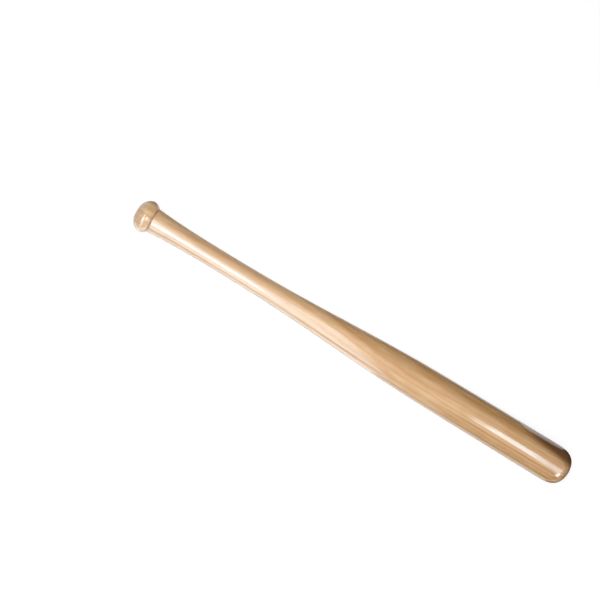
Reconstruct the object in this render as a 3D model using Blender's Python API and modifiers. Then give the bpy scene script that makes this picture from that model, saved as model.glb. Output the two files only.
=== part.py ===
"""A child's wooden baseball bat, 24 inches long, lying on its side.

The bat lies along X with its knob at -X and its barrel at +X, and rests on the plane z = 0.
It is three pieces of wood: the turned body, which is barrel, taper and handle in one; the
knob, turned by itself, which sits on the end of the handle; and the fluted dowel that is
glued into both of them. Every length is in metres.
"""

import math

import bmesh
import bpy

# Driving dimensions, along the bat from the flat on the end of the knob
BAT_LENGTH = 0.610
BARREL_DIAMETER = 0.0468
HANDLE_DIAMETER = 0.0254
KNOB_DIAMETER = 0.0413
KNOB_LENGTH = 0.0225

# The turner's template for the body: a distance along the bat, and the diameter there
BODY_TEMPLATE = (
    (KNOB_LENGTH, 0.0318),
    (0.045, 0.0284),
    (0.080, 0.0260),
    (0.120, HANDLE_DIAMETER),
    (0.155, 0.0257),
    (0.200, 0.0274),
    (0.245, 0.0310),
    (0.295, 0.0363),
    (0.345, 0.0414),
    (0.390, 0.0445),
    (0.430, 0.0456),
    (0.490, 0.0462),
    (0.5665, BARREL_DIAMETER),
    (0.5865, 0.0467),
)

# The body's rings stand close together on the handle and the taper, and wider on the barrel,
# where the outline is nearly straight and one ring has to carry the bat
BARREL_START = 0.3865
HANDLE_STEP = 0.010
BARREL_STEP = 0.020

# The barrel's domed end: a superellipse that stops at a small flat
DOME_POWER = 2.6
DOME_POINTS = 12
BARREL_FLAT_RADIUS = 0.0080

# The knob: an ellipse in profile, cut flat at its end and again at its seat on the handle
KNOB_WIDEST = 0.0127
KNOB_FLAT_RADIUS = 0.0085
KNOB_ARC_POINTS = 16
EDGE_BREAK = 0.0007

# The joint between knob and handle, with room for glue round the dowel
SEAT_GAP = 0.0003
GLUE_GAP = 0.0003
BORE_EXTRA_DEPTH = 0.0010
DOWEL_DIAMETER = 0.0100
DOWEL_LENGTH = 0.0500
DOWEL_IN_KNOB = 0.0150
DOWEL_CHAMFER = 0.0008
DOWEL_FLUTES = 12
POINTS_PER_FLUTE = 4
FLUTE_DEPTH = 0.0004

# Round pieces have this many sides, and lie on a side, not on an edge between two
SIDES = 48
HALF_SIDE = math.pi / SIDES
AXIS_HEIGHT = BARREL_DIAMETER / 2 * math.cos(HALF_SIDE)
SHARP_ANGLE = math.radians(30)
MERGE_DISTANCE = 0.00002

BORE_RADIUS = DOWEL_DIAMETER / 2 + GLUE_GAP
DOWEL_START = KNOB_LENGTH - DOWEL_IN_KNOB


def clear_scene():
    """Removes the objects that the file opened with."""
    for obj in list(bpy.data.objects):
        bpy.data.objects.remove(obj, do_unlink=True)


def wood(name, colour, roughness):
    """A plain wood finish."""
    material = bpy.data.materials.new(name)
    material.use_nodes = True
    shader = material.node_tree.nodes["Principled BSDF"]
    shader.inputs["Base Color"].default_value = (*colour, 1.0)
    shader.inputs["Roughness"].default_value = roughness
    shader.inputs["Metallic"].default_value = 0.0
    return material


def template_slope(i):
    """How fast the body's radius grows at one place of the template: not at all where it turns back."""
    last = len(BODY_TEMPLATE) - 1
    before, here, beyond = (BODY_TEMPLATE[min(max(k, 0), last)] for k in (i - 1, i, i + 1))
    if (here[1] - before[1]) * (beyond[1] - here[1]) <= 0 and 0 < i < last:
        return 0.0
    return (beyond[1] - before[1]) / 2 / (beyond[0] - before[0])


def template_radius(distance):
    """The body's radius at a distance along the bat, on a smooth curve through the template."""
    last = len(BODY_TEMPLATE) - 1
    beyond = next((i for i in range(1, last) if distance < BODY_TEMPLATE[i][0]), last)
    before = beyond - 1
    start, start_diameter = BODY_TEMPLATE[before]
    end, end_diameter = BODY_TEMPLATE[beyond]
    span = end - start
    t = (distance - start) / span
    return (
        start_diameter / 2 * (2 * t**3 - 3 * t**2 + 1)
        + template_slope(before) * span * (t**3 - 2 * t**2 + t)
        + end_diameter / 2 * (3 * t**2 - 2 * t**3)
        + template_slope(beyond) * span * (t**3 - t**2)
    )


def dome_profile():
    """The barrel's end, from the rim of its flat back to where the template ends."""
    foot, diameter = BODY_TEMPLATE[-1]
    radius = diameter / 2
    # At this angle the superellipse is as narrow as the flat, which says how long it is uncut
    narrowest = math.asin((BARREL_FLAT_RADIUS / radius) ** (DOME_POWER / 2))
    uncut_length = (BAT_LENGTH - foot) / math.cos(narrowest) ** (2 / DOME_POWER)
    points = []
    for i in range(DOME_POINTS):
        angle = narrowest + (math.pi / 2 - narrowest) * i / DOME_POINTS
        along = foot + uncut_length * math.cos(angle) ** (2 / DOME_POWER)
        points.append((along, radius * math.sin(angle) ** (2 / DOME_POWER)))
    return points


def spaced(start, end, step):
    """Even places from the start, as near the step apart as fits, up to but without the end."""
    count = round(abs(end - start) / step)
    return [start + (end - start) * i / count for i in range(count)]


def body_profile():
    """Half the body's outline as (distance along, radius): back along the outside, then into the bore."""
    seat = KNOB_LENGTH + SEAT_GAP
    first, last = seat + EDGE_BREAK, BODY_TEMPLATE[-1][0]
    barrel = spaced(last, BARREL_START, BARREL_STEP)
    handle = spaced(BARREL_START, first, HANDLE_STEP)
    bore_end = DOWEL_START + DOWEL_LENGTH + BORE_EXTRA_DEPTH
    return [
        (BAT_LENGTH, 0.0),
        *dome_profile(),
        *((along, template_radius(along)) for along in (*barrel, *handle, first)),
        (seat, template_radius(first) - EDGE_BREAK),
        (seat, BORE_RADIUS),
        (bore_end, BORE_RADIUS),
        (bore_end, 0.0),
    ]


def knob_profile():
    """Half the knob's outline: out of the bore, over the seat, then round the ellipse to the flat."""
    radius = KNOB_DIAMETER / 2
    # The ellipse is as long as leaves a flat of the stated radius
    half_length = KNOB_WIDEST / math.sqrt(1 - (KNOB_FLAT_RADIUS / radius) ** 2)
    start = math.asin((KNOB_LENGTH - EDGE_BREAK - KNOB_WIDEST) / half_length)
    end = -math.asin(KNOB_WIDEST / half_length)
    arc = []
    for i in range(KNOB_ARC_POINTS + 1):
        angle = start + (end - start) * i / KNOB_ARC_POINTS
        arc.append((KNOB_WIDEST + half_length * math.sin(angle), radius * math.cos(angle)))
    bore_floor = DOWEL_START - BORE_EXTRA_DEPTH
    return [
        (bore_floor, 0.0),
        (bore_floor, BORE_RADIUS),
        (KNOB_LENGTH, BORE_RADIUS),
        (KNOB_LENGTH, arc[0][1] - EDGE_BREAK),
        *arc,
        (0.0, 0.0),
    ]


def turned(name, profile, material, collection):
    """Turns a profile round the X axis, as on a lathe, and sets the piece down on one of its sides."""
    mesh = bpy.data.meshes.new(name)
    points = [(along, radius, 0.0) for along, radius in profile]
    edges = [(i, i + 1) for i in range(len(points) - 1)]
    mesh.from_pydata(points, edges, [])
    obj = bpy.data.objects.new(name, mesh)
    collection.objects.link(obj)
    lathe = obj.modifiers.new("Lathe", "SCREW")
    lathe.axis = "X"
    lathe.angle = 2 * math.pi
    lathe.steps = SIDES
    lathe.render_steps = SIDES
    lathe.use_merge_vertices = True
    lathe.merge_threshold = MERGE_DISTANCE
    bpy.context.view_layer.objects.active = obj
    bpy.ops.object.modifier_apply(modifier=lathe.name)
    obj.data.shade_smooth()
    obj.data.set_sharp_from_angle(angle=SHARP_ANGLE)
    obj.data.materials.append(material)
    obj.location = (-BAT_LENGTH / 2, 0.0, AXIS_HEIGHT)
    obj.rotation_euler = (HALF_SIDE, 0.0, 0.0)
    return obj


def fluted_outline():
    """The dowel as a curve: a circle with shallow grooves, extruded, with its ends chamfered."""
    curve = bpy.data.curves.new("dowel_outline", "CURVE")
    curve.dimensions = "2D"
    curve.fill_mode = "BOTH"
    curve.extrude = DOWEL_LENGTH / 2 - DOWEL_CHAMFER
    curve.bevel_depth = DOWEL_CHAMFER
    curve.bevel_resolution = 0
    curve.offset = -DOWEL_CHAMFER
    count = DOWEL_FLUTES * POINTS_PER_FLUTE
    spline = curve.splines.new("POLY")
    spline.points.add(count - 1)
    spline.use_cyclic_u = True
    for i, point in enumerate(spline.points):
        groove = FLUTE_DEPTH if i % POINTS_PER_FLUTE == 0 else 0.0
        radius = DOWEL_DIAMETER / 2 - groove
        angle = 2 * math.pi * i / count
        point.co = (radius * math.cos(angle), radius * math.sin(angle), 0.0, 1.0)
    return curve


def fluted_dowel(name, material, collection):
    """The dowel, laid along X with its shorter stretch in the knob and the rest in the handle."""
    outline = bpy.data.objects.new("dowel_outline", fluted_outline())
    collection.objects.link(outline)
    graph = bpy.context.evaluated_depsgraph_get()
    mesh = bpy.data.meshes.new_from_object(outline.evaluated_get(graph))
    bpy.data.objects.remove(outline, do_unlink=True)
    # The curve's end caps are loose until they are welded to its wall
    welded = bmesh.new()
    welded.from_mesh(mesh)
    bmesh.ops.remove_doubles(welded, verts=welded.verts, dist=MERGE_DISTANCE)
    welded.to_mesh(mesh)
    welded.free()
    mesh.name = name
    mesh.shade_smooth()
    mesh.set_sharp_from_angle(angle=SHARP_ANGLE)
    mesh.materials.clear()
    mesh.materials.append(material)
    obj = bpy.data.objects.new(name, mesh)
    collection.objects.link(obj)
    middle = DOWEL_START + DOWEL_LENGTH / 2
    obj.location = (middle - BAT_LENGTH / 2, 0.0, AXIS_HEIGHT)
    obj.rotation_euler = (0.0, math.pi / 2, 0.0)
    return obj


def main():
    clear_scene()
    bat = bpy.data.collections.new("baseball_bat")
    bpy.context.scene.collection.children.link(bat)
    lacquered = wood("lacquered_wood", (0.64, 0.42, 0.23), 0.25)
    bare = wood("bare_dowel_wood", (0.58, 0.38, 0.22), 0.60)
    turned("bat_body", body_profile(), lacquered, bat)
    turned("knob", knob_profile(), lacquered, bat)
    fluted_dowel("knob_dowel", bare, bat)


main()
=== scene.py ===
# %% [markdown]
# A wooden baseball bat
#
# This is a child's bat, 610 mm long. It is turned from pale, close-grained wood, sanded, and
# finished in clear gloss lacquer. A bat like this has three pieces: the turned body, the knob,
# and a dowel that is hidden inside both of them.
#
# The measured model of the bat is loaded first, and never changes. It has the right size but
# plain facets and flat colours. Everything below is built around it, in the same metres and
# with the same axes: X runs from the knob to the end of the barrel, and Z is up.

# %% Load the measured model
import math

import bpy
import numpy as np
from mathutils import Matrix, Vector, noise


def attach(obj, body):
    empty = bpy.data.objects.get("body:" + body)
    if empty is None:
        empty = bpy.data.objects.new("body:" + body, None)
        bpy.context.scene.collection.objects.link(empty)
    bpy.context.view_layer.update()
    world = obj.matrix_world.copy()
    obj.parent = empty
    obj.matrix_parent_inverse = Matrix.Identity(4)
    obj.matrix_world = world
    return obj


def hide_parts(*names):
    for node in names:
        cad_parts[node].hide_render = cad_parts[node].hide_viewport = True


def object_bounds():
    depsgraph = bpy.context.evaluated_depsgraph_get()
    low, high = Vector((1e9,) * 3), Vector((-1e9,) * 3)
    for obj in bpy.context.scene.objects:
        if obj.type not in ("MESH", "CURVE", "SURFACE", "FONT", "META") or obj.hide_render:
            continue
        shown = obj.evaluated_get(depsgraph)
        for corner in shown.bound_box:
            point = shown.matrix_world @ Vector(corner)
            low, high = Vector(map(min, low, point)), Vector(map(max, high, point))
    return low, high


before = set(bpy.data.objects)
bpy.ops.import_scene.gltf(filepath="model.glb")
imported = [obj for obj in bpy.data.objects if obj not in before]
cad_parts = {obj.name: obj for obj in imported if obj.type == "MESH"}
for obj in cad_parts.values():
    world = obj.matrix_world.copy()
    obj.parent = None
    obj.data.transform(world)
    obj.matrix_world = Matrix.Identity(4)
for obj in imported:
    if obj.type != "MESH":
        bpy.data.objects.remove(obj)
cad_low, cad_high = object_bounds()
print("pieces of the measured model:", ", ".join(sorted(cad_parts)))
print("its box, in mm:", [round(1000 * side, 1) for side in cad_high - cad_low])

# %% [markdown]
# The camera
#
# The bat is photographed from straight above, at the distance of a tripod over a table, and it
# lies slantwise across the picture. The slant could be given to the bat, but the bat has to
# stay where the measured model is, so the camera is turned round its own line of sight instead.
#
# A camera's view is as wide as its distance times the sensor width, divided by the focal
# length. The focal length is worked out from the width of the picture in millimetres.

# %% Set up the camera
BAT_SLANT = math.radians(31.34)
CAMERA_DISTANCE = 1.2
PICTURE_WIDTH = 0.7297
PICTURE_CENTRE = (-0.0803, 0.0102)
SENSOR_WIDTH = 36.0

scene = bpy.context.scene
axis_height = (cad_low.z + cad_high.z) / 2

camera_data = bpy.data.cameras.new("camera")
camera_data.sensor_width = SENSOR_WIDTH
camera_data.lens = SENSOR_WIDTH * CAMERA_DISTANCE / PICTURE_WIDTH
camera = bpy.data.objects.new("camera", camera_data)
camera.location = (*PICTURE_CENTRE, axis_height + CAMERA_DISTANCE)
camera.rotation_euler = (0.0, 0.0, BAT_SLANT)
scene.collection.objects.link(camera)
scene.camera = camera
print("focal length, in mm:", round(camera_data.lens, 1))

# %% [markdown]
# Shader maths in Python
#
# A material in Blender is a net of nodes. Building one by hand means a node for every plus and
# minus sign. The small class below wraps an output socket, so that a sum such as
# `1 - rings * 0.3` can be written as Python, and adds the nodes that work it out. Numbers go
# through Math nodes, vectors through Vector Math and colours through Mix, because a Math node
# would turn a colour grey.

# %% A socket that can be used in sums
class Wire:
    """One output of a node. Sums with it add the nodes that work them out."""

    def __init__(self, finish, socket):
        self.finish = finish
        self.socket = socket

    def combine(self, operation, first, second):
        kinds = [w.socket.type for w in (first, second) if isinstance(w, Wire)]
        if "RGBA" in kinds:
            settings = {"data_type": "RGBA", "blend_type": operation, "clamp_factor": False}
            return self.finish.node("Mix", settings, Factor=1.0, A=first, B=second)
        kind = "VectorMath" if "VECTOR" in kinds else "Math"
        return self.finish.node(kind, {"operation": operation}, at=(first, second))

    def __add__(self, other):
        return self.combine("ADD", self, other)

    def __radd__(self, other):
        return self.combine("ADD", other, self)

    def __sub__(self, other):
        return self.combine("SUBTRACT", self, other)

    def __rsub__(self, other):
        return self.combine("SUBTRACT", other, self)

    def __mul__(self, other):
        return self.combine("MULTIPLY", self, other)

    def __rmul__(self, other):
        return self.combine("MULTIPLY", other, self)

    def __truediv__(self, other):
        return self.combine("DIVIDE", self, other)

    def __rtruediv__(self, other):
        return self.combine("DIVIDE", other, self)


# %% A material that adds its own nodes
class Finish:
    """A material, and one way to add any node to it."""

    def __init__(self, name):
        self.material = bpy.data.materials.new(name)
        self.material.use_nodes = True
        self.tree = self.material.node_tree
        self.shader = self.tree.nodes["Principled BSDF"]

    def put(self, socket, value):
        """Links a wire to a socket, or gives the socket a fixed value."""
        if isinstance(value, Wire):
            self.tree.links.new(value.socket, socket)
        elif socket.type == "RGBA":
            socket.default_value = (*value, 1.0) if len(value) == 3 else value
        elif socket.type == "VECTOR" and not hasattr(value, "__len__"):
            socket.default_value = (value, value, value)
        else:
            socket.default_value = value

    def node(self, kind, settings=None, at=(), result=None, **sockets):
        """Adds a node. Settings come first, then the sockets, by place or by name."""
        node = self.tree.nodes.new("ShaderNode" + kind)
        for key, value in (settings or {}).items():
            setattr(node, key, value)
        for socket, value in zip(node.inputs, at):
            self.put(socket, value)
        for key, value in sockets.items():
            name = key.replace("_", " ")
            self.put(next(s for s in node.inputs if s.enabled and s.name == name), value)
        shown = [s for s in node.outputs if s.enabled and result in (None, s.name)]
        return Wire(self, shown[0])

    def between(self, value, low, high, to_low=0.0, to_high=1.0):
        """Maps a value smoothly from one range to another, and stops at its ends."""
        sockets = {"From_Min": low, "From_Max": high, "To_Min": to_low, "To_Max": to_high}
        smooth = {"interpolation_type": "SMOOTHSTEP"}
        return self.node("MapRange", smooth, Value=value, **sockets)

    def blend(self, factor, first, second):
        """Goes from one colour to another as the factor goes from 0 to 1."""
        return self.node("Mix", {"data_type": "RGBA"}, Factor=factor, A=first, B=second)


print("the shader helpers are ready")

# %% [markdown]
# A white floor
#
# The bat lies on white paper, as for a catalogue, and the paper has to be white without being
# bright, or it would light the wood from below and wash out its shading. So the paper is grey
# to the light that falls on it, and glows by itself only for rays from the camera and for
# reflections. The bat's soft shadow stays on it.

# %% Make the floor
FLOOR_SIZE = 6.0
FLOOR_DROP = 0.0002

half_floor = FLOOR_SIZE / 2
floor_mesh = bpy.data.meshes.new("floor")
signs = ((-1, -1), (1, -1), (1, 1), (-1, 1))
floor_corners = [(x * half_floor, y * half_floor, 0.0) for x, y in signs]
floor_mesh.from_pydata(floor_corners, [], [(0, 1, 2, 3)])
floor = bpy.data.objects.new("floor", floor_mesh)
floor.location.z = cad_low.z - FLOOR_DROP
scene.collection.objects.link(floor)

PAPER_GREY = (0.30, 0.30, 0.30)
PAPER_GLOW = 0.82

paper = Finish("white_paper")
paper.shader.inputs["Base Color"].default_value = (*PAPER_GREY, 1.0)
paper.shader.inputs["Roughness"].default_value = 0.9
paper.shader.inputs["Specular IOR Level"].default_value = 0.1
seen = paper.node("LightPath", result="Is Camera Ray")
seen = seen + paper.node("LightPath", result="Is Glossy Ray")
seen = seen + paper.node("LightPath", result="Is Transmission Ray")
paper.put(paper.shader.inputs["Emission Color"], seen * PAPER_GLOW)
paper.shader.inputs["Emission Strength"].default_value = 1.0
floor_mesh.materials.append(paper.material)
print("floor:", FLOOR_SIZE, "m square")

# %% [markdown]
# A dim sky that looks white
#
# The world outside does the same. It is white where the camera or a reflection sees it, and dim
# for what it lights, so that almost all of the light comes from the lamps, which have a
# direction and make the bat look round.

# %% Make the sky
SKY_LIGHT = 0.08

world = bpy.data.worlds.new("white_sky")
world.use_nodes = True
sky = world.node_tree
path = sky.nodes.new("ShaderNodeLightPath")
rays = ("Is Camera Ray", "Is Glossy Ray", "Is Transmission Ray")
total = path.outputs[rays[0]]
for ray in rays[1:]:
    either = sky.nodes.new("ShaderNodeMath")
    either.operation = "MAXIMUM"
    sky.links.new(total, either.inputs[0])
    sky.links.new(path.outputs[ray], either.inputs[1])
    total = either.outputs[0]
level = sky.nodes.new("ShaderNodeMapRange")
level.inputs["To Min"].default_value = SKY_LIGHT
level.inputs["To Max"].default_value = 1.0
sky.links.new(total, level.inputs["Value"])
background = sky.nodes["Background"]
background.inputs["Color"].default_value = (1.0, 1.0, 1.0, 1.0)
sky.links.new(level.outputs[0], background.inputs["Strength"])
scene.world = world
scene.view_settings.view_transform = "Standard"
print("sky: lights at", SKY_LIGHT)

# %% [markdown]
# Softboxes that light the wood
#
# A softbox is a lamp behind a white cloth. It does two things at once: it lights the wood, and
# it shows in the gloss lacquer as a bright streak along it. A photographer who wants one without
# the other moves lamps and screens about for an hour. Blender can simply leave one of them out,
# so here the lamps that light the wood don't show in the lacquer, and the streaks have lamps of
# their own.
#
# Most of the light comes from above the handle. Two lamps on the near side and a weak one on
# the far side fill in the rest, so the barrel is darker than the handle, and darkest on its far
# side. Two low lamps beyond the ends of the bat light the faces that look away from the others.

# %% Hang the softboxes that light the wood
WHITE = (1.0, 1.0, 1.0)
AIM = 0.4


def softbox(name, centre, along, across, radiance, colour=WHITE):
    """A rectangular lamp, as bright at every point as the radiance says.

    It faces the bat's axis at a place that is only part of the way out to the lamp's own X.
    """
    lamp = bpy.data.lights.new(name, "AREA")
    lamp.shape = "RECTANGLE"
    lamp.size = along
    lamp.size_y = across
    lamp.color = colour
    lamp.energy = radiance * math.pi * along * across
    box = bpy.data.objects.new(name, lamp)
    back = (Vector(centre) - Vector((AIM * centre[0], 0.0, axis_height))).normalized()
    side = Vector((0.0, 1.0, 0.0)).cross(back).normalized()
    turn = Matrix((side, back.cross(side), back)).transposed().to_4x4()
    box.matrix_world = Matrix.Translation(centre) @ turn
    box.visible_camera = False
    scene.collection.objects.link(box)
    print(f"{name}: {along} x {across} m, {lamp.energy:.1f} W")
    return box


for box in (
    softbox("top_softbox", (-0.17, 0.02, 0.72), 0.50, 0.50, 5.0),
    softbox("barrel_side_softbox", (0.30, -0.55, 0.57), 0.60, 0.50, 2.3),
    softbox("handle_side_softbox", (-0.25, -0.50, 0.42), 0.40, 0.40, 1.4),
    softbox("far_side_softbox", (-0.07, 0.30, 0.38), 0.40, 0.40, 0.8),
    softbox("barrel_end_softbox", (0.85, 0.00, 0.14), 0.30, 0.24, 4.0),
    softbox("knob_end_softbox", (-0.85, 0.00, 0.14), 0.30, 0.24, 2.6),
):
    box.visible_glossy = False

# %% [markdown]
# Softboxes that show in the lacquer
#
# Where a streak runs says where its lamp hangs: on a round bar it lies where the surface faces
# halfway between the camera and the lamp. The handle has a sharp streak inside a broad, fainter
# one, so a small bright lamp hangs in front of a large weak one. The barrel has a narrow streak
# from a lamp beyond its end, because a reflection moves away from the camera faster than the
# place it is seen in, and it grows wider and fainter towards the rounded end. The small spark on
# the rim is a little lamp close to the floor. The streaks are whiter than the wood's own light,
# as daylight is, so these lamps are a little blue.

# %% Hang the softboxes that show in the lacquer
DAYLIGHT = (0.62, 0.84, 1.0)

for box in (
    softbox("handle_gleam", (-0.255, -0.27, 0.53), 0.18, 0.26, 9.0, DAYLIGHT),
    softbox("halo_gleam", (-0.18, -0.39, 0.50), 0.40, 1.30, 4.4, DAYLIGHT),
    softbox("barrel_gleam", (0.430, -0.190, 0.85), 0.14, 0.38, 9.5, DAYLIGHT),
    softbox("end_gleam", (0.950, -0.300, 0.85), 0.90, 0.58, 5.2, DAYLIGHT),
    softbox("rim_gleam", (0.450, -0.140, 0.140), 0.08, 0.08, 9.0),
):
    box.visible_diffuse = False

# %% [markdown]
# Cards and sheets of paper
#
# Gloss lacquer on a white table reflects the table and the room, and the sides of the bat would
# turn milky and flat. Photographers stand black cards just outside the picture, or close to the
# object, to give such sides a darker, richer edge. One card stands behind the whole bat, and two
# more close off the barrel's end and its near side.
#
# The rims of the bat face the floor beside it, so sheets that lie there change them. A black
# sheet behind the bat darkens its far side, and one beyond the barrel's end makes the thin dark
# line round the dome. A black strip under the bat stands for its shadow on the paper, and keeps
# the outline crisp. A white sheet beside the handle, brighter than the floor, makes its near
# side pale. All of them show in reflections alone: the camera doesn't see them, and they throw
# neither light nor shadow on the wood.

# %% Put the cards and sheets round the bat
BRIGHT_PAPER = 2.0

card_black = Finish("card_black")
card_black.shader.inputs["Base Color"].default_value = (0.01, 0.01, 0.01, 1.0)
card_black.shader.inputs["Roughness"].default_value = 1.0
card_black.shader.inputs["Specular IOR Level"].default_value = 0.0

card_white = Finish("card_white")
card_white.shader.inputs["Emission Color"].default_value = (*WHITE, 1.0)
card_white.shader.inputs["Emission Strength"].default_value = BRIGHT_PAPER


def card(name, finish, corners):
    """A card with four corners, which shows only in reflections."""
    mesh = bpy.data.meshes.new(name)
    mesh.from_pydata(corners, [], [(0, 1, 2, 3)])
    mesh.materials.append(finish.material)
    sheet = bpy.data.objects.new(name, mesh)
    sheet.visible_camera = False
    sheet.visible_shadow = False
    sheet.visible_diffuse = False
    scene.collection.objects.link(sheet)
    print(name, "has its highest corner", max(z for _, _, z in corners), "m up")


def standing(start, end, start_height, end_height):
    """The corners of an upright card between two places on the floor."""
    return [(*start, 0.0), (*end, 0.0), (*end, end_height), (*start, start_height)]


def lying(*places):
    """The corners of a sheet that lies on the floor."""
    return [(x, y, 0.0) for x, y in places]


card("far_card", card_black, standing((-0.34, 0.16), (0.42, 0.11), 0.25, 0.14))
card("end_card", card_black, standing((0.42, 0.11), (0.42, -0.06), 0.14, 0.05))
card("near_card", card_black, standing((0.15, -0.11), (0.42, -0.11), 0.06, 0.08))

far_places = (-0.34, 0.036), (0.235, 0.047), (0.26, 0.121), (-0.34, 0.16)
end_places = (0.30, -0.06), (0.42, -0.06), (0.42, 0.11), (0.30, 0.11)
under_places = (-0.32, -0.016), (0.30, -0.036), (0.30, 0.036), (-0.32, 0.020)
near_places = (-0.36, -0.045), (0.04, -0.045), (0.14, -0.34), (-0.36, -0.34)
card("far_sheet", card_black, lying(*far_places))
card("end_sheet", card_black, lying(*end_places))
card("shadow_strip", card_black, lying(*under_places))
card("near_sheet", card_white, lying(*near_places))

# %% [markdown]
# Reading the outline
#
# A turned piece is one outline, spun round the lathe's axis. The measured model keeps that
# outline as rings of points, each at one place along X and at one radius. Reading it back from
# there, instead of typing it in again, means that the finer mesh can't be the wrong size.

# %% Read the rings of a turned piece
SAME_RING = 0.00002


def outline_of(node):
    """The rings of a turned node, as sorted pairs: the place along X, and the radius."""
    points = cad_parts[node].data.vertices
    pairs = sorted((v.co.x, math.hypot(v.co.y, v.co.z - axis_height)) for v in points)
    rings = []
    for x, radius in pairs:
        near = [r for r in rings if x - r[0] < SAME_RING and abs(radius - r[1]) < SAME_RING]
        if not near:
            rings.append((x, radius))
    return rings


body_rings = outline_of("bat_body")
knob_rings = outline_of("knob")
BORE_LIMIT = 0.0060
bore_radius = max(radius for _, radius in body_rings if radius < BORE_LIMIT)
print("rings:", len(body_rings), "on the body and", len(knob_rings), "on the knob")
print("bore:", round(2000 * bore_radius, 2), "mm across")

# %% [markdown]
# A smooth curve through the rings
#
# Straight lines from ring to ring would show as bands in the lacquer's reflections. A Hermite
# curve passes through every ring and leaves it in the direction that its neighbours give, so
# the streaks of light stay unbroken. The direction at the last ring is given, so that the dome
# runs into the flat end without an edge.


# %% Smooth an outline
def smooth_outline(points, spacing, last_direction):
    """Points along a smooth curve through an outline, about one spacing apart."""
    knots = np.array(points, float)
    steps = np.diff(knots, axis=0)
    lengths = np.linalg.norm(steps, axis=1)
    slopes = steps / lengths[:, None]
    tangents = np.empty_like(knots)
    share = lengths[1:, None] / (lengths[1:, None] + lengths[:-1, None])
    tangents[1:-1] = slopes[:-1] * share + slopes[1:] * (1 - share)
    tangents[0] = slopes[0]
    tangents[-1] = last_direction
    curve = []
    for i, length in enumerate(lengths):
        count = max(1, round(length / spacing))
        for t in np.arange(count) / count:
            curve.append(
                knots[i] * (2 * t**3 - 3 * t**2 + 1)
                + tangents[i] * length * (t**3 - 2 * t**2 + t)
                + knots[i + 1] * (3 * t**2 - 2 * t**3)
                + tangents[i + 1] * length * (t**3 - t**2)
            )
    curve.append(knots[-1])
    return [tuple(point) for point in curve]


def rounded_edge(start, end, count=5):
    """A quarter of an ellipse from a point on the seat to a point on the outside."""
    points = []
    for i in range(count):
        angle = math.pi / 2 * i / count
        x = start[0] + (end[0] - start[0]) * (1 - math.cos(angle))
        points.append((x, start[1] + (end[1] - start[1]) * math.sin(angle)))
    return points


# %% [markdown]
# Turning on the lathe
#
# Blender's Screw modifier is a lathe: it spins an outline round an axis. A Subdivision Surface
# on the faceted model would be quicker, but it would draw the edges in and shrink the bat.
#
# A real bat isn't perfectly round. The gouge and the sandpaper leave shallow waves, a few
# hundredths of a millimetre high. They can't be seen on the outline, but a gloss finish shows
# them as a slight wander in the edges of each streak of light. They are in the mesh here, not in
# a bump map, because the lacquer follows them.

# %% Turn a piece
SIDES = 160
WAVE_HEIGHT = 0.00005
WAVE_LENGTH = 0.022
WAVES_ROUND = 1.3
MERGE_DISTANCE = 0.00001
SHARP_ANGLE = math.radians(35)


def turned(name, outline, seed):
    """Spins an outline round the bat's axis, and gives the outside its shallow waves."""
    mesh = bpy.data.meshes.new(name)
    edges = [(i, i + 1) for i in range(len(outline) - 1)]
    mesh.from_pydata([(x, radius, 0.0) for x, radius in outline], edges, [])
    piece = bpy.data.objects.new(name, mesh)
    scene.collection.objects.link(piece)
    lathe = piece.modifiers.new("lathe", "SCREW")
    lathe.axis = "X"
    lathe.steps = SIDES
    lathe.render_steps = SIDES
    lathe.use_merge_vertices = True
    lathe.merge_threshold = MERGE_DISTANCE
    graph = bpy.context.evaluated_depsgraph_get()
    spun = bpy.data.meshes.new_from_object(piece.evaluated_get(graph))
    piece.modifiers.clear()
    piece.data = spun
    bpy.data.meshes.remove(mesh)
    spun.name = name
    for vertex in spun.vertices:
        x, y, z = vertex.co
        radius = math.hypot(y, z)
        if radius > BORE_LIMIT:
            place = Vector((x / WAVE_LENGTH, WAVES_ROUND * y / radius, WAVES_ROUND * z / radius))
            wave = 1 + WAVE_HEIGHT * noise.noise(place + Vector((seed, 0.0, 0.0))) / radius
            vertex.co = (x, y * wave, z * wave)
        vertex.co.z += axis_height
    spun.shade_smooth()
    spun.set_sharp_from_angle(angle=SHARP_ANGLE)
    print(f"{name}: {len(outline)} rings of {SIDES}, {len(spun.polygons)} faces")
    return piece


# %% [markdown]
# The body
#
# The barrel, the taper and the handle are one billet of wood. The outline starts in the middle
# of the hidden bore, comes out over the seat where the knob is glued, rounds the edge, and
# follows the outside to the flat on the end of the barrel.

# %% Turn the body
RING_SPACING = 0.0025

bore_end = max(x for x, radius in body_rings if radius < BORE_LIMIT and x < 0)
outside = [(x, radius) for x, radius in body_rings if radius > BORE_LIMIT]
seat, outside = outside[0], outside[1:]
body_outline = [
    (bore_end, 0.0),
    (bore_end, bore_radius),
    (seat[0], bore_radius),
    *rounded_edge(seat, outside[0]),
    *smooth_outline(outside, RING_SPACING, (0.0, -1.0)),
    (outside[-1][0], outside[-1][1] / 2),
    (outside[-1][0], 0.0),
]
bat_body = turned("bat_body_turned", body_outline, seed=4.0)
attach(bat_body, "root")
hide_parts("bat_body")

# %% [markdown]
# The knob
#
# The knob is a ball that is flattened a little along the bat, cut off square where it meets the
# handle and again at its end. The sharp crease between the two is what shows that it is a piece
# of its own. Both edges at the crease are rounded by sanding, so it catches a thin dark line.

# %% Turn the knob
KNOB_RING_SPACING = 0.4 * RING_SPACING

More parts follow.
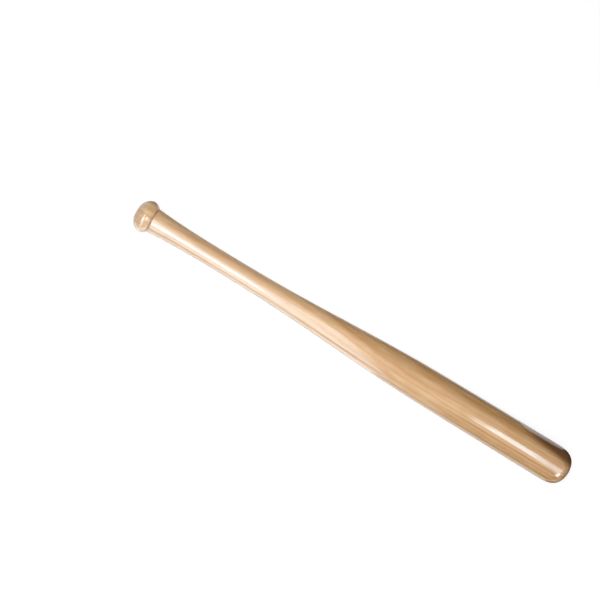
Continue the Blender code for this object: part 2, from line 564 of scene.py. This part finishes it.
knob_bore_end = min(x for x, radius in knob_rings if abs(radius - bore_radius) < SAME_RING)
outside = [(x, radius) for x, radius in knob_rings if radius > BORE_LIMIT]
outside.reverse()
seat, outside = outside[0], outside[1:]
knob_outline = [
    (knob_bore_end, 0.0),
    (knob_bore_end, bore_radius),
    (seat[0], bore_radius),
    *rounded_edge(seat, outside[0]),
    *smooth_outline(outside, KNOB_RING_SPACING, (0.0, -1.0)),
    (outside[-1][0], outside[-1][1] / 2),
    (outside[-1][0], 0.0),
]
knob = turned("knob_turned", knob_outline, seed=9.0)
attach(knob, "root")
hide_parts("knob")
crease_at = seat[0]
print("the crease is at x =", round(1000 * crease_at, 1), "mm")

# %% [markdown]
# Wood
#
# Wood is a stack of growth rings round the tree's middle, the pith. A bat is cut from a plank
# some way from the pith, so on the bat the rings are long bands that run almost straight. An
# image of wood can't be wrapped round a turned piece without a seam, so the rings are worked
# out in three dimensions: the distance from a pith line some centimetres away says which ring
# a point is in. The bands then carry right through the piece, and come out as arcs on its end,
# as they do in real wood.
#
# A tree doesn't grow quite straight. On this bat the bands cross the taper at a slant and run
# nearly straight again on the barrel, so the pith line is bent there, and a little noise lets
# the bands wander.

# %% Growth rings, in three dimensions
DROP_START, DROP_END = -0.12, 0.16
WANDER_RATE = (4.0, 12.0, 12.0)
WANDER = 0.004


def rings_round(finish, pith, shift, drop, lean):
    """The place of each point in the wood, and its distance from the pith.

    The rings drop to one side along the middle of the piece, and lean a little over its length.
    """
    middle = Vector(shift) - Vector((0.0, 0.0, axis_height))
    here = finish.node("TexCoord", result="Object") + tuple(middle)
    bent = finish.node(
        "TexNoise", {"noise_dimensions": "3D"}, result="Color",
        Vector=here * WANDER_RATE, Scale=1.0, Detail=2.0, Roughness=0.5,
    )
    wander = finish.node("VectorMath", {"operation": "SUBTRACT"}, at=(bent, (0.5, 0.5, 0.5)))
    across = here * (0.0, 1.0, 1.0) + wander * (0.0, WANDER, WANDER)
    along = finish.node("SeparateXYZ", Vector=here)
    sideways = finish.between(along, DROP_START, DROP_END, 0.0, drop) + along * lean
    from_pith = across + finish.node("CombineXYZ", Y=sideways) - (0.0, *pith)
    distance = finish.node("VectorMath", {"operation": "LENGTH"}, at=(from_pith,), result="Value")
    return here, distance


print("the rings wander by up to", 500 * WANDER, "mm to either side")

# %% [markdown]
# Fibres
#
# Seen close, wood is a bundle of fibres. They show as fine streaks along the grain, and all the
# smaller marks are streaks too: short dark pores, and a slow drift of colour over the whole
# piece. One helper makes them all. It squeezes noise across the grain and stretches it along.

# %% Streaks along the grain
BAND_WIDTH = 0.0046
RING_LINE_WIDTH = 0.0015
FIBRE_LENGTH, FIBRE_WIDTH = 0.060, 0.0009
MOTTLE_LENGTH, MOTTLE_WIDTH = 0.022, 0.006
DRIFT_LENGTH, DRIFT_WIDTH = 0.160, 0.030
FINE_FIBRE_LENGTH, FINE_FIBRE_WIDTH = 0.018, 0.00028
PORE_LENGTH, PORE_WIDTH = 0.0040, 0.00022


def streaks(finish, here, length, width, detail=3.0, seed=0.0):
    """Noise stretched along the grain: how long and how wide its marks are, in metres."""
    scaled = here * (1 / length, 1 / width, 1 / width)
    return finish.node(
        "TexNoise", Vector=scaled + (seed, 0.0, 0.0), Scale=1.0, Detail=detail, Roughness=0.55
    )


def grain_tone(finish, here, ring):
    """How dark the wood is, from bands, thin ring lines, fibres, mottling and a slow drift."""
    in_rings = {"noise_dimensions": "1D"}
    bands = finish.node("TexNoise", in_rings, W=ring / BAND_WIDTH, Scale=1.0, Detail=1.5)
    lines = finish.node("TexNoise", in_rings, W=ring / RING_LINE_WIDTH, Scale=1.0, Detail=2.0)
    fibres = streaks(finish, here, FIBRE_LENGTH, FIBRE_WIDTH)
    mottle = streaks(finish, here, MOTTLE_LENGTH, MOTTLE_WIDTH, detail=1.0, seed=1.0)
    drift = streaks(finish, here, DRIFT_LENGTH, DRIFT_WIDTH, detail=1.0, seed=3.0)
    # Each layer counts for this much, and most of their sum lies in the range below
    tone = bands * 0.52 + lines * 0.14 + fibres * 0.42 + mottle * 0.30 + drift * 0.30
    return finish.between(tone, 0.60, 1.08), fibres


print("the bands are about", 1000 * BAND_WIDTH, "mm wide, and the fibres", 1000 * FIBRE_WIDTH, "mm")

# %% [markdown]
# Marks of this piece of wood, and painted shade
#
# Three dark lines follow the growth rings. The one across the upper side of the taper is a darker
# ring in the grain. The one along the barrel just below its streak of light is a darker ring that
# also serves as painted shade under the streak. The one along the barrel's far side is painted
# shade on that side. Near the barrel's end the far side turns darker, past a slant line. And the
# crease beside the knob has a thin reddish line of painted shade.
#
# Each of them is a mask: a number that is 0 where nothing changes, and grows to 1 where the
# other colour takes over.

# %% Masks for dark rings and painted shade, the darker far side of the barrel's end, and the crease's painted shade
HALF_RING = 0.0026
FAR_END_SLANT = 0.12
FAR_END_SIDE = (0.0395, 0.0490)
FAR_END_START = (0.215, 0.260)
CREASE_SHADE_REACH = 0.0011
CREASE_SHADE_STRENGTH = 0.60


def place_along(finish, axis):
    """A coordinate of each point in the shared frame."""
    return finish.node("SeparateXYZ", Vector=finish.node("TexCoord", result="Object"), result=axis)


def dark_ring_and_painted_shade(finish, ring, distance, start, end, strength):
    """A mask for a dark line along a growth ring, which comes and goes along the bat. It draws
    darker rings in the grain, and painted shade.
    """
    middle, reach = (start + end) / 2, (end - start) / 2
    off = finish.node("Math", {"operation": "ABSOLUTE"}, at=(ring - distance,))
    away = finish.node("Math", {"operation": "ABSOLUTE"}, at=(place_along(finish, "X") - middle,))
    line = finish.between(off, 0.0, HALF_RING, strength, 0.0)
    return line * finish.between(away, 0.5 * reach, reach, 1.0, 0.0)


def far_end_darkening(finish):
    """A mask that darkens the far side of the barrel's end, past a slant line."""
    x = place_along(finish, "X")
    side = finish.between(place_along(finish, "Y") + x * FAR_END_SLANT, *FAR_END_SIDE)
    return side * finish.between(x, *FAR_END_START)


def crease_shade(finish):
    """A mask for painted shade: a thin reddish line in the crease beside the knob."""
    off = finish.node("Math", {"operation": "ABSOLUTE"}, at=(place_along(finish, "X") - crease_at,))
    return finish.between(off, 0.4 * CREASE_SHADE_REACH, CREASE_SHADE_REACH, CREASE_SHADE_STRENGTH, 0.0)


print("a dark ring is", 2000 * HALF_RING, "mm wide")

# %% [markdown]
# The lacquered wood
#
# The colour is built in layers. The handle is paler than the barrel, partly in the wood's tone and
# partly as painted sheen, a whitish cast that stands for the lacquer's broad reflection there, so
# each of them has a light and a dark colour, and the grain goes from one to the other. The dark
# rings with their painted shade, the darker far side of the barrel's end, the fine fibres and the
# pores come on top. The end grain soaks up more lacquer than the side, so both ends are a little
# darker.
#
# Principled BSDF has a Coat layer, which is the lacquer: a thin clear film with its own sharp
# reflection over the duller wood. The bump from the fibres goes to the wood below, and the film
# over it stays smooth.

# %% Make the lacquered wood
KNOB_WOOD = ((0.735, 0.495, 0.290), (0.595, 0.355, 0.175))
# The handle's colours are paler partly in the wood's tone and partly as painted sheen
HANDLE_WOOD_AND_SHEEN = ((0.745, 0.505, 0.305), (0.600, 0.350, 0.170))
BARREL_WOOD = ((0.705, 0.445, 0.222), (0.555, 0.287, 0.100))
RING_AND_SHADE_BROWN = (0.470, 0.225, 0.060)
PORE_BROWN = (0.300, 0.140, 0.050)
FAR_END_BROWN = (0.215, 0.098, 0.038)
END_BROWN = (0.540, 0.315, 0.145)
CREASE_SHADE_BROWN = (0.360, 0.145, 0.045)
HANDLE_AT, BARREL_AT = -0.25, 0.30


def lacquered_wood(name, first, last, dark_rings_and_painted_shade, darkens_far_end, **rings):
    """Pale wood under clear gloss lacquer, from its first colours at -X to its last ones at +X."""
    wood = Finish(name)
    here, ring = rings_round(wood, **rings)
    shade, fibres = grain_tone(wood, here, ring)
    barrel = wood.between(place_along(wood, "X"), HANDLE_AT, BARREL_AT)
    light = wood.blend(barrel, first[0], last[0])
    dark = wood.blend(barrel, first[1], last[1])
    colour = wood.blend(shade, light, dark)
    # Dark rings: darker grain, and painted shade along the barrel
    for settings in dark_rings_and_painted_shade:
        colour = wood.blend(dark_ring_and_painted_shade(wood, ring, *settings), colour, RING_AND_SHADE_BROWN)
    if darkens_far_end:
        # The far side of the barrel's end is darker, past a slant line
        colour = wood.blend(far_end_darkening(wood), colour, FAR_END_BROWN)
    fine_fibres = streaks(wood, here, FINE_FIBRE_LENGTH, FINE_FIBRE_WIDTH, detail=2.0, seed=7.0)
    level = wood.between(fine_fibres, 0.25, 0.75, 0.94, 1.05)
    colour = colour * wood.node("CombineColor", at=(level, level, level))
    specks = streaks(wood, here, PORE_LENGTH, PORE_WIDTH, detail=1.0, seed=5.0)
    pores = wood.between(specks, 0.66, 0.80, 0.0, 0.45)
    colour = wood.blend(pores, colour, PORE_BROWN)
    facing = wood.node("SeparateXYZ", Vector=wood.node("TexCoord", result="Normal"))
    end = wood.node("Math", {"operation": "ABSOLUTE"}, at=(facing,))
    colour = wood.blend(wood.between(end, 0.60, 1.0, 0.0, 0.70), colour, END_BROWN)
    # Painted shade in the crease beside the knob
    colour = wood.blend(crease_shade(wood), colour, CREASE_SHADE_BROWN)
    wood.put(wood.shader.inputs["Base Color"], colour)
    wood.put(wood.shader.inputs["Roughness"], 0.28 + fibres * 0.14)
    bump = wood.node("Bump", Strength=0.25, Distance=0.0002, Height=fibres + pores * -1.0)
    wood.put(wood.shader.inputs["Normal"], bump)
    wood.shader.inputs["Specular IOR Level"].default_value = 0.12
    wood.shader.inputs["Coat Weight"].default_value = 1.0
    wood.shader.inputs["Coat Roughness"].default_value = 0.11
    wood.shader.inputs["Coat IOR"].default_value = 1.6
    print(name, "has", len(wood.tree.nodes), "nodes")
    return wood.material


# %% Finish the body and the knob in it
# Each dark ring, some of them painted shade: its distance from the pith, where along X it starts
# and ends, and how dark it is
BODY_DARK_RINGS_AND_PAINTED_SHADE = (
    # A darker ring in the grain on the taper's upper side
    (0.0860, -0.07, 0.14, 0.50),
    # A darker ring below the barrel's streak, which also paints shade under the streak
    (0.0747, 0.11, 0.35, 0.95),
    # Painted shade along the barrel's far side
    (0.0965, 0.10, 0.36, 0.50),
)

body_wood = lacquered_wood(
    "lacquered_wood_body", HANDLE_WOOD_AND_SHEEN, BARREL_WOOD, BODY_DARK_RINGS_AND_PAINTED_SHADE, True,
    pith=(-0.065, -0.015), shift=(0.0, 0.0, 0.0), drop=0.0143, lean=-0.0147,
)
knob_wood = lacquered_wood(
    "lacquered_wood_knob", KNOB_WOOD, KNOB_WOOD, (), False,
    pith=(-0.040, 0.030), shift=(0.3, 0.02, 0.01), drop=0.0, lean=0.05,
)
bat_body.data.materials.append(body_wood)
knob.data.materials.append(knob_wood)

# %% [markdown]
# The dowel
#
# The dowel is a bought piece of bare beech with shallow flutes that let the glue out. It is
# hidden in the finished bat, and the measured model already has its shape, flutes and chamfers,
# so it stays and only gets a better finish. Beech is known by its short dark flecks.

# %% Make the bare beech
BEECH_LIGHT = (0.600, 0.400, 0.235)
BEECH_DARK = (0.430, 0.255, 0.135)
BEECH_FLECK = (0.230, 0.110, 0.050)
BEECH_BAND_WIDTH = 0.0018
BEECH_FIBRE_LENGTH, BEECH_FIBRE_WIDTH = 0.012, 0.0004
FLECK_LENGTH, FLECK_WIDTH = 0.0022, 0.00025

beech = Finish("bare_beech")
beech_here, beech_ring = rings_round(
    beech, pith=(0.030, 0.020), shift=(0.0, 0.0, 0.0), drop=0.0, lean=0.0
)
beech_fibres = streaks(beech, beech_here, BEECH_FIBRE_LENGTH, BEECH_FIBRE_WIDTH)
beech_bands = beech.node(
    "TexNoise", {"noise_dimensions": "1D"}, W=beech_ring / BEECH_BAND_WIDTH, Scale=1.0
)
beech_flecks = streaks(beech, beech_here, FLECK_LENGTH, FLECK_WIDTH, detail=0.0, seed=2.0)
beech_shade = beech.between(beech_fibres * 0.6 + beech_bands * 0.4, 0.3, 0.7)
beech_colour = beech.blend(beech_shade, BEECH_LIGHT, BEECH_DARK)
beech_spots = beech.between(beech_flecks, 0.60, 0.68, 0.0, 0.7)
beech_colour = beech.blend(beech_spots, beech_colour, BEECH_FLECK)
beech.put(beech.shader.inputs["Base Color"], beech_colour)
beech.put(beech.shader.inputs["Roughness"], 0.55 + beech_fibres * 0.2)
beech_bump = beech.node("Bump", Strength=0.4, Distance=0.0003, Height=beech_fibres)
beech.put(beech.shader.inputs["Normal"], beech_bump)
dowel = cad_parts["knob_dowel"]
dowel.material_slots[0].material = beech.material
print("the dowel is finished in", beech.material.name)
